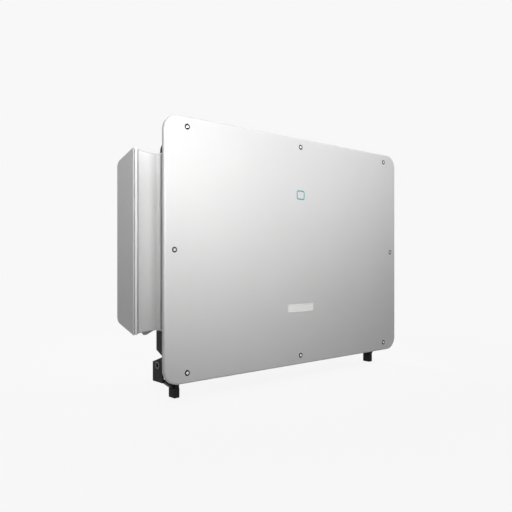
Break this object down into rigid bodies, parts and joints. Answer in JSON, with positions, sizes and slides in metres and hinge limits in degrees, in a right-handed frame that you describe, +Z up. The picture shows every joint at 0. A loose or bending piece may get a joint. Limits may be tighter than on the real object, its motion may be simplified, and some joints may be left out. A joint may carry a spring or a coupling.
{
  "type": "string inverter",
  "caption": "Three-phase string inverter: satin front cover over a sealed casing, finned heat sink in a fan-cooled duct, scooped rear housing, switches and cable entries below.",
  "frame": {"origin": "middle of the footprint on the floor, at the underside of the feet", "axes": "+X to the right seen from the front, +Y from the front cover to the back, +Z up"},
  "size_m": [1.136, 0.361, 0.87],
  "materials": {
    "cover_paint": "satin silver-grey powder coat",
    "housing_paint": "satin light grey powder coat",
    "side_paint": "satin grey powder coat",
    "dark_paint": "fine-textured black powder coat",
    "bracket_cast": "black painted casting",
    "bright_steel": "brushed stainless steel",
    "rail_steel": "zinc-plated steel",
    "sink_aluminium": "bare extruded aluminium",
    "seal_rubber": "matt black elastomer",
    "foot_rubber": "matt black rubber",
    "light_guide": "translucent cyan light guide",
    "plate_plastic": "smooth pale plate, bare",
    "black_plastic": "black glass-filled polyamide",
    "fan_plastic": "black fan plastic",
    "knob_plastic": "black moulded grip",
    "switch_plastic": "dark grey moulding",
    "grey_plastic": "grey moulding",
    "board_green": "green solder mask",
    "board_blue": "blue solder mask",
    "module_white": "off-white power module case",
    "capacitor_film": "blue film capacitor case",
    "copper": "bare copper bar",
    "core_winding": "varnished winding",
    "potted_aluminium": "cast pot with potted winding"
  },
  "bodies": {
    "cabinet": {"front_cover": "cover_paint", "cover_gasket": "seal_rubber", "cover_screws": "bright_steel", "cover_screw_washers": "seal_rubber", "light_ring": "light_guide", "indicator_board": "board_green", "name_plate": "plate_plastic", "casing": "dark_paint", "casing_flange": "dark_paint", "casing_floor": "dark_paint", "heat_sink": "sink_aluminium", "duct_frame": "dark_paint", "outlet_grille": "dark_paint", "fan_tray": "dark_paint", "intake_grille": "dark_paint", "fan_frames": "fan_plastic", "rear_housing": "housing_paint", "side_cover_left": "side_paint", "side_cover_right": "side_paint", "side_cover_screws": "bright_steel", "hanger_rails": "rail_steel", "rail_spacers": "rail_steel", "rail_bolts": "bright_steel", "bracket_left": "bracket_cast", "bracket_right": "bracket_cast", "feet": "foot_rubber", "foot_screws": "bright_steel", "rear_legs": "bracket_cast", "string_connectors_plus": "black_plastic", "string_connectors_minus": "black_plastic", "switch_bodies": "switch_plastic", "switch_collars": "switch_plastic", "gland_plate": "dark_paint", "power_glands": "black_plastic", "signal_glands": "black_plastic", "gland_plate_screws": "bright_steel", "vent_valve": "grey_plastic", "earth_terminal": "bright_steel", "power_board": "board_green", "board_posts": "bright_steel", "control_board": "board_blue", "power_modules": "module_white", "link_capacitors": "capacitor_film", "grid_relays": "grey_plastic", "filter_chokes": "core_winding", "output_terminals": "switch_plastic", "busbars": "copper", "surge_arresters": "grey_plastic", "input_board": "board_green", "boost_inductors": "potted_aluminium", "output_inductors": "potted_aluminium"},
    "fan_1": {"fan_impeller_1": "fan_plastic"},
    "fan_2": {"fan_impeller_2": "fan_plastic"},
    "fan_3": {"fan_impeller_3": "fan_plastic"},
    "fan_4": {"fan_impeller_4": "fan_plastic"},
    "fan_5": {"fan_impeller_5": "fan_plastic"},
    "knob_1": {"switch_knob_1": "knob_plastic"},
    "knob_2": {"switch_knob_2": "knob_plastic"},
    "knob_3": {"switch_knob_3": "knob_plastic"},
    "knob_4": {"switch_knob_4": "knob_plastic"}
  },
  "joints": [
    {"name": "fan_spin_1", "type": "hinge", "parent": "cabinet", "child": "fan_1", "pos_m": [-0.304, -0.004, 0.13], "axis": [0, 0, 1], "continuous": true},
    {"name": "fan_spin_2", "type": "hinge", "parent": "cabinet", "child": "fan_2", "pos_m": [-0.152, -0.004, 0.13], "axis": [0, 0, 1], "continuous": true},
    {"name": "fan_spin_3", "type": "hinge", "parent": "cabinet", "child": "fan_3", "pos_m": [0, -0.004, 0.13], "axis": [0, 0, 1], "continuous": true},
    {"name": "fan_spin_4", "type": "hinge", "parent": "cabinet", "child": "fan_4", "pos_m": [0.152, -0.004, 0.13], "axis": [0, 0, 1], "continuous": true},
    {"name": "fan_spin_5", "type": "hinge", "parent": "cabinet", "child": "fan_5", "pos_m": [0.304, -0.004, 0.13], "axis": [0, 0, 1], "continuous": true},
    {"name": "switch_turn_1", "type": "hinge", "parent": "cabinet", "child": "knob_1", "pos_m": [-0.41273, -0.145, 0.108], "axis": [0, 0, 1], "range_deg": [0, 90]},
    {"name": "switch_turn_2", "type": "hinge", "parent": "cabinet", "child": "knob_2", "pos_m": [-0.28591, -0.145, 0.108], "axis": [0, 0, 1], "range_deg": [0, 90]},
    {"name": "switch_turn_3", "type": "hinge", "parent": "cabinet", "child": "knob_3", "pos_m": [-0.15909, -0.145, 0.108], "axis": [0, 0, 1], "range_deg": [0, 90]},
    {"name": "switch_turn_4", "type": "hinge", "parent": "cabinet", "child": "knob_4", "pos_m": [-0.03227, -0.145, 0.108], "axis": [0, 0, 1], "range_deg": [0, 90]}
  ]
}
